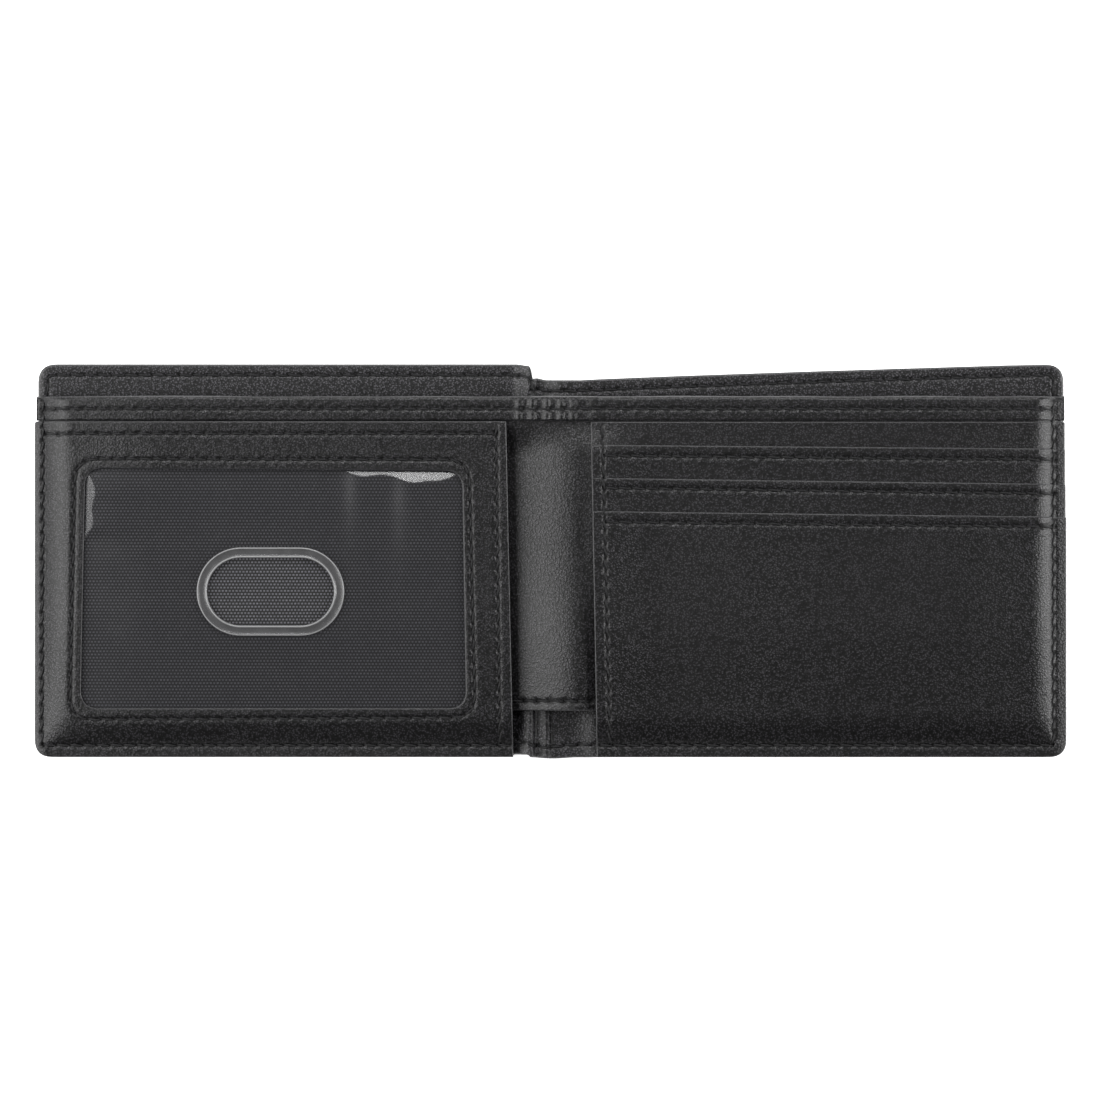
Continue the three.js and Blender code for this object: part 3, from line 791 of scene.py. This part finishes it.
def finish_piece(piece, body, slot, *nodes):
    """A piece that rides on one body and stands for some CAD nodes, which are hidden. Its slot is not
    used.
    """
    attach(piece, body)
    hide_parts(*nodes)
    return piece


def finish_bent(piece, side, base):
    """A piece from the middle of the spine over one leaf, with its placement baked into its mesh.

    It stands for the leaf's CAD node of that base name, and on the left for the spine's as well,
    as far as the CAD has them: the cover's foot thread has one on the spine only.
    """
    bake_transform(piece)
    nodes = [f"{base}_left", f"{base}_spine"] if side < 0 else [f"{base}_right"]
    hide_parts(*[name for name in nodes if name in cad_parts])


def spine_points(y_low, y_high):
    """Extra points over the spine, where the leather is creased."""
    return grid_points((-14, y_low), (14.1, y_high), 0.45, 0.9)


SIDES = ((-1, "left"), (1, "right"))


def make_cover():
    fine = spine_points(-46, 46)
    turned_in = 0.25  # the facing's margin inside the cover
    for side, word in SIDES:
        end = LEAF_END - (0.7 if side < 0 else 0.5)
        loop = half(side, cover_bottom, cover_top, end)
        piece = sheet(f"cover_leather_{word}", LEATHER, [loop], cover_height, COVER[1], extra=fine,
                      round_over=0.4)
        finish_bent(piece, side, "cover")

        inner = half(side, lambda x: cover_bottom(x) + turned_in, lambda x: cover_top(x) - turned_in,
                     end - turned_in)
        piece = sheet(f"cover_facing_{word}_skin", FACING_LEATHER, [inner], facing_height, FACING[1],
                      seams=seams(f"top_{word}", f"bottom_{word}"), extra=fine)
        finish_bent(piece, side, "cover_facing")
        for place, key in (("top", "top"), ("foot", "bottom")):
            stitches = thread(f"cover_{place}_stitches_{word}", seams(f"{key}_{word}"), facing_height)
            finish_bent(stitches, side, f"cover_{key}_thread")
        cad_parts[f"cover_stiffener_{word}"].data.materials[0] = BOARD


def divider_loop(side, inset):
    """Full height under the pockets, and shorter beside the spine."""
    top, foot, beside_spine, end = DIVIDER_TOP - 0.4, BOTTOM + inset, side * 12, side * (LEAF_END - inset)
    corners = [(0, DIVIDER_FOOT), (beside_spine, DIVIDER_FOOT), (beside_spine, foot), (end, foot, 3),
               (end, top), (0, top)]
    return rounded(corners if side > 0 else corners[::-1])


def band_puckers(x, y):
    """Small gathers in the band over the spine, where it is drawn in by its seam."""
    places = ((-7.1, 0.45), (-4.1, 0.56), (-0.8, 0.6), (2.4, 0.52), (5.1, 0.4), (9.6, 0.18))
    return sum(height * bump(x, place, 0.75) for place, height in places)


def make_band(side, word):
    """The band along the divider's mouth, with its top edge turned down over the layers behind it."""
    end = LEAF_END - 0.4
    xs = side * np.concatenate([np.arange(0, end, 0.4), [end - 0.15, end]])
    top, under, behind = BAND[0] + BAND[1], BAND[0], LINING[0]
    nose = 0.95  # the radius of the turned edge
    front = [(BAND_FOOT, top - 0.4), (BAND_FOOT + 0.05, top - 0.2), (BAND_FOOT + 0.16, top - 0.07),
             (BAND_FOOT + 0.34, top)]
    front += [(y, top) for y in np.arange(BAND_FOOT + 0.6, DIVIDER_TOP - 1, 0.33)]
    front += [(DIVIDER_TOP - 0.75 + nose * math.sin(a), top - nose + nose * math.cos(a))
              for a in np.linspace(0, math.pi / 2, 7)]
    back = [(DIVIDER_TOP + 0.2, behind + 0.2), (DIVIDER_TOP + 0.05, behind + 0.02),
            (DIVIDER_TOP - 0.25, behind - 0.02), (DIVIDER_TOP - 0.3, behind + 0.2),
            (DIVIDER_TOP - 0.34, under), (DIVIDER_TOP - 0.7, under + 0.02),
            (BAND_FOOT + 0.4, under + 0.02), (BAND_FOOT + 0.02, under + 0.05)]
    profile = np.array(front + back)
    rows = len(profile)
    x = np.repeat(xs, rows)
    y, z = np.tile(profile.T, len(xs))
    outer = np.tile(np.arange(rows) < len(front), len(xs))
    flat = np.column_stack([x, y])
    dip, hole = np.array(SEAMS[f"band_{word}"].pull(flat)) + SEAMS[f"{word}_side"].pull(flat)
    z = z + swell(x, y) + np.where(outer, band_puckers(x, y) - dip, 0) + 0.04 * waves(x, y, 5, 9)
    y = y + 0.12 * waves(x, 0 * x, 8, 30) * (y > DIVIDER_TOP - 1)
    faces = []
    for i in range(len(xs) - 1):
        for j in range(rows):
            a, b = i * rows + j, i * rows + (j + 1) % rows
            faces.append((a, a + rows, b + rows, b))
    faces += [tuple(range(rows)), tuple(range(len(xs) * rows - 1, (len(xs) - 1) * rows - 1, -1))]
    if side < 0:
        faces = [face[::-1] for face in faces]
    # The band is lighter along its turned top and its foot: part wear, part painted highlight.
    edge = bump(y, DIVIDER_TOP + 0.2, 0.2) + 0.4 * bump(y, BAND_FOOT, 0.12)
    piece = mesh_object(f"divider_band_{word}_turned", np.column_stack([x, y, z]), faces, LEATHER,
                        edge=edge, hole=hole)
    finish_bent(piece, side, "divider_band")


def band_height(x, y):
    return BAND[0] + BAND[1] + swell(x, y) + band_puckers(x, y)


def make_divider():
    fine = spine_points(-34, 32)
    for side, word in SIDES:
        piece = sheet(f"divider_{word}_sheet", LEATHER, [divider_loop(side, 0.9)], divider_height,
                      DIVIDER[1], seams=seams(f"hem_{word}"), extra=fine)
        finish_bent(piece, side, "divider")
        loop = divider_loop(side, 1.1)
        piece = sheet(f"divider_lining_{word}_cloth", NYLON, [loop], lining_height, LINING[1], step=2.2)
        finish_bent(piece, side, "divider_lining")
        make_band(side, word)
        for key, surface in (("band", band_height), ("hem", divider_height)):
            piece = thread(f"{key}_stitches_{word}", seams(f"{key}_{word}"), surface)
            finish_bent(piece, side, f"{key}_thread")


HOLE_CENTRE = (-63.3, -7.0)
HOLE_HALF = (14.3, 7.6)
# The rim's cross-section: distance from the thumb hole and height above the film
RIM_PROFILE = ((0, 0), (0, 0.45), (0.06, 0.62), (0.18, 0.72), (0.34, 0.74), (0.5, 0.66), (0.64, 0.52),
               (0.85, 0.47), (1.3, 0.5), (1.7, 0.47), (1.9, 0.52), (2.04, 0.62), (2.18, 0.66),
               (2.3, 0.58), (2.4, 0.4), (2.42, 0))
INNER_HIGHLIGHT, OUTER_HIGHLIGHT = 0.3, 2.25  # its two painted highlight lines


def stadium(grow):
    """The thumb hole's outline with round ends, grown by a distance, counter-clockwise."""
    radius = HOLE_HALF[1] + grow
    straight = HOLE_HALF[0] - HOLE_HALF[1]
    points = []
    for sign, start in ((1, -math.pi / 2), (-1, math.pi / 2)):
        for angle in start + np.linspace(0, math.pi, 40):
            points.append((HOLE_CENTRE[0] + sign * straight + radius * math.cos(angle),
                           HOLE_CENTRE[1] + radius * math.sin(angle)))
    return np.array(points)


def left_outline(inset, top, free_inset=0.0):
    """The outline of a sheet of the identity-card pocket."""
    (x1, _), (x2, _) = ID_EDGE
    foot = BOTTOM + inset * 0.5
    return rounded([(-LEAF_END + inset, top, 0.6), (-LEAF_END + inset, foot, 4.0),
                    (x2 - free_inset, foot), (x1 - free_inset, top, 0.3)])


def frame_height(x, y):
    """The top of the panel with the window, raised a little around it."""
    flat = np.column_stack([np.ravel(x), np.ravel(y)])
    from_window = edge_distance(flat, [rounded(WINDOW)]).reshape(np.shape(x))
    return FRAME[0] + FRAME[1] + swell(x, y) + 0.05 * bump(from_window, 1.1, 0.8)


def film_height(x, y):
    """Clear film, slack where it is sewn under the window's left edge and its top right edge."""
    from_left = np.clip(x + 105.5 + 0.02 * (20.9 - y), 0, None)
    width = 1.9 + 0.3 * np.sin(y * 0.9) + 0.25 * np.sin(y * 0.41 + 2)
    width = width * ramp(y, 4.2, 7.5) * ramp(y, 21.5, 18)
    left = 0.5 * np.minimum(from_left, width) * ramp(from_left, 26, 4)
    from_top = np.clip(20.6 - y, 0, None)
    depth = 3.6 * np.clip((x + 50) / 30, 0, 1) + 0.5 * np.sin(x * 0.55) * ramp(x, -56, -44) + 0.35
    depth = np.clip(depth, 0, None) * ramp(x, -60, -52) * np.clip((-x - 19.4) / 6, 0, 1)
    top = 0.42 * np.minimum(from_top, depth) * ramp(from_top, 45, 5)
    return FILM[0] + FILM[1] + swell(x, y) + 0.03 * waves(x, y, 21, 30) + left + top


def slack_points():
    """Extra points where the film is slack."""
    left = grid_points((-106, 2), (-102, 23), 0.3, 0.5)
    top = grid_points((-60, 14), (-17, 22), 0.5, 0.3)
    return np.vstack([left, top])


def make_rim():
    """The moulded rim of the thumb hole."""
    paths = [stadium(grow) for grow, _ in RIM_PROFILE]
    rings = [np.column_stack([path, film_height(*path.T) + lift - 0.02])
             for path, (_, lift) in zip(paths, RIM_PROFILE)]
    rows, count = len(rings), len(rings[0])
    faces = [((i + 1) % rows * count + j, (i + 1) % rows * count + (j + 1) % count,
              i * count + (j + 1) % count, i * count + j) for i in range(rows) for j in range(count)]
    from_hole = np.repeat([grow for grow, _ in RIM_PROFILE], count)
    # Painted highlights: lighter lines along the rim's inner and outer edges.
    lines = bump(from_hole, INNER_HIGHLIGHT, 0.2) + bump(from_hole, OUTER_HIGHLIGHT, 0.16)
    return mesh_object("thumb_hole_rim", np.vstack(rings), faces, CLEAR_RIM, edge=lines)


def left_top(x, y):
    """The top surface of the identity-card pocket and of the band above it."""
    return np.where(y > ID_TOP, band_height(x, y), frame_height(x, y))


def make_id_pocket():
    body = "left_leaf"
    loop = left_outline(1.0, ID_TOP - 1, 1)
    backing = sheet("id_pocket_backing_cloth", NYLON, [loop], layer(BACKING), BACKING[1], step=1.5)
    finish_piece(backing, body, "nylon_lining", "id_pocket_backing")
    under_frame = 2.6  # how far the film reaches under the panel
    outer = rounded([(x + np.sign(x + 62) * under_frame, y + np.sign(y + 6) * under_frame, r)
                     for x, y, r in WINDOW])
    film = sheet("id_window_film_clear", CLEAR, [outer, stadium(0.4)[::-1]], film_height, FILM[1],
                 step=1.2, extra=slack_points())
    finish_piece(film, body, "clear_film", "id_window_film")
    finish_piece(make_rim(), body, "clear_film", "id_window_film")

    panel = sheet("id_window_frame_leather", LEATHER, [left_outline(0, ID_TOP), rounded(WINDOW)[::-1]],
                  frame_height, FRAME[1], round_over=0.28,
                  seams=seams("left_side", "left_foot", "id_top", "id_side", "window"))
    finish_piece(panel, body, "pebbled_leather", "id_window_frame")
    for name, node_name, keys in (("edge_stitches_left", "edge_thread_left", ("left_side", "left_foot")),
                                  ("id_top_stitches", "id_top_thread", ("id_top",)),
                                  ("id_side_stitches", "id_side_thread", ("id_side",)),
                                  ("window_stitches", "window_thread", ("window",))):
        finish_piece(thread(name, seams(*keys), left_top), body, "thread", node_name)


def card_edge_x(y):
    """The inner edge of the card pockets, which leans a little."""
    (x1, y1), (x2, y2) = CARD_EDGE
    return x1 + (x2 - x1) * (y1 - y) / (y1 - y2)


def card_outline(top, fall, foot, end=0.0, radius=0.0):
    """A sheet of the card pockets, whose top edge falls towards the outer end."""
    return rounded([(card_edge_x(foot), foot), (LEAF_END - end, foot, radius),
                    (LEAF_END - end, top - fall, 0.5), (card_edge_x(top), top, 0.3)])


def top_line_at(x, top, fall):
    """The height above the wallet's foot of a falling top edge."""
    return top - fall * (x - 9) / (LEAF_END - 9)


def bead(top, fall):
    """A slight thickening along a pocket's turned top edge."""
    def height(x, y):
        return 0.10 * bump(y, top_line_at(x, top, fall) - 0.7, 0.7)
    return height


def over_card_layer(spec, extra=None):
    return layer(spec, over=over_cards, extra=extra)


# Number, layer, top edge, its fall towards the outer end, and the margin there
SLOTS = ((1, SLOT_1, SLOT_1_TOP, 0.9, 0.25), (2, SLOT_2, SLOT_2_TOP, 1.4, 0.15))
FRONT_FALL = 1.3
SLOT_DEPTH = 13.2  # how far the leather of a slot reaches down


def right_top(x, y):
    """The top surface of the card pockets, whichever sheet is uppermost."""
    z = band_height(x, y)
    sheets = [(CARD_BASE, CARD_TOP + 0.15, 0)]
    sheets += [(spec, top, fall) for _, spec, top, fall, _ in SLOTS]
    sheets += [(FRONT, FRONT_TOP, FRONT_FALL)]
    for spec, top, fall in sheets:
        z = np.where(y < top_line_at(x, top, fall), over_card_layer(spec)(x, y), z)
    return z


def make_card_pockets():
    body = "right_leaf"
    outline = card_outline(CARD_TOP, 0, BOTTOM + 0.3, 0.3, 4.0)
    base = sheet("card_panel_base_leather", LEATHER, [outline], over_card_layer(CARD_BASE), CARD_BASE[1],
                 seams=seams("right_side", "card_side"))
    finish_piece(base, body, "pebbled_leather", "card_panel_base")
    for number, spec, top, fall, end in SLOTS:
        loop = card_outline(top, fall, top - SLOT_DEPTH, end)
        strip = sheet(f"slot_{number}_leather", LEATHER, [loop], over_card_layer(spec, bead(top, fall)),
                      spec[1], step=1.4, seams=seams(f"slot_{number}", "right_side", "card_side"))
        finish_piece(strip, body, "pebbled_leather", f"slot_{number}_strip")
        stitches = thread(f"slot_{number}_stitches", seams(f"slot_{number}"), over_card_layer(spec))
        finish_piece(stitches, body, "thread", f"slot_{number}_thread")
    front = sheet("front_pocket_leather", LEATHER, [card_outline(FRONT_TOP, FRONT_FALL, BOTTOM, 0, 4.0)],
                  over_card_layer(FRONT, bead(FRONT_TOP, FRONT_FALL)), FRONT[1],
                  seams=seams("front", "right_side", "right_foot", "card_side"))
    finish_piece(front, body, "pebbled_leather", "front_pocket")
    threads = (("front_pocket_stitches", "front_pocket_thread", ("front",)),
               ("card_side_stitches", "card_side_thread", ("card_side",)),
               ("edge_stitches_right", "edge_thread_right", ("right_side", "right_foot")))
    for name, node_name, keys in threads:
        finish_piece(thread(name, seams(*keys), right_top), body, "thread", node_name)
    for number, spec, top, fall, _ in SLOTS:
        foot = cad(f"slot_{number}_liner")[0][1]
        loop = card_outline(top - 13, fall, foot, 1.4)
        liner_layer = (spec[0] + 0.15, LINER_THICKNESS)
        liner = sheet(f"slot_{number}_liner_cloth", NYLON, [loop], over_card_layer(liner_layer),
                      LINER_THICKNESS, step=2.4)
        finish_piece(liner, body, "nylon_lining", f"slot_{number}_liner")


# ---- Table, light and camera ----


def make_stage():
    size = 3000
    points = np.array([(-size, -size, 0), (size, -size, 0), (size, size, 0), (-size, size, 0)], float)
    table = mesh_object("table", points - [0, 0, 0.02], [(0, 1, 2, 3)], floor_material())


def area_light(name, place, aim, size, power):
    data = bpy.data.lights.new(name, "AREA")
    data.shape = "RECTANGLE"
    data.size, data.size_y = size
    data.energy = power
    light = bpy.data.objects.new(name, data)
    light.location = place
    light.rotation_euler = (Vector(aim) - Vector(place)).to_track_quat("-Z", "Y").to_euler()
    bpy.context.scene.collection.objects.link(light)


def make_lights():
    """Softboxes at both sides and behind, in a dim surround that looks pale past the table."""
    area_light("left_softbox", (-0.74, 0.05, 0.62), (0, 0, 0), (0.85, 0.9), 12.5)
    area_light("right_softbox", (0.90, 0.05, 0.40), (0, 0, 0), (0.35, 0.9), 10)
    area_light("back_softbox", (0.0, 0.66, 0.62), (0, 0, 0), (0.45, 0.2), 4.5)
    world = bpy.data.worlds.new("studio")
    world.use_nodes = True
    tree = world.node_tree
    background = tree.nodes["Background"]
    background.inputs["Color"].default_value = (1, 1, 1, 1)
    seen = node(tree, "LightPath")
    strength = node(tree, "MapRange", to_min=0.08, to_max=0.95)
    tree.links.new(seen.outputs["Is Camera Ray"], strength.inputs["Value"])
    tree.links.new(strength.outputs["Result"], background.inputs["Strength"])
    bpy.context.scene.world = world


def make_camera():
    data = bpy.data.cameras.new("camera")
    data.sensor_width = 36
    distance, width, seam_height = 3.0, 0.24915, 0.003  # the width seen at the height of the seams
    data.lens = data.sensor_width * (distance - seam_height) / width
    camera = bpy.data.objects.new("camera", data)
    camera.location = (-0.0001, 0.0024, distance)
    bpy.context.scene.collection.objects.link(camera)
    bpy.context.scene.camera = camera


make_camera()
make_stage()
make_lights()
make_cover()
make_divider()
make_id_pocket()
make_card_pockets()
bpy.context.scene.view_settings.view_transform = "Standard"
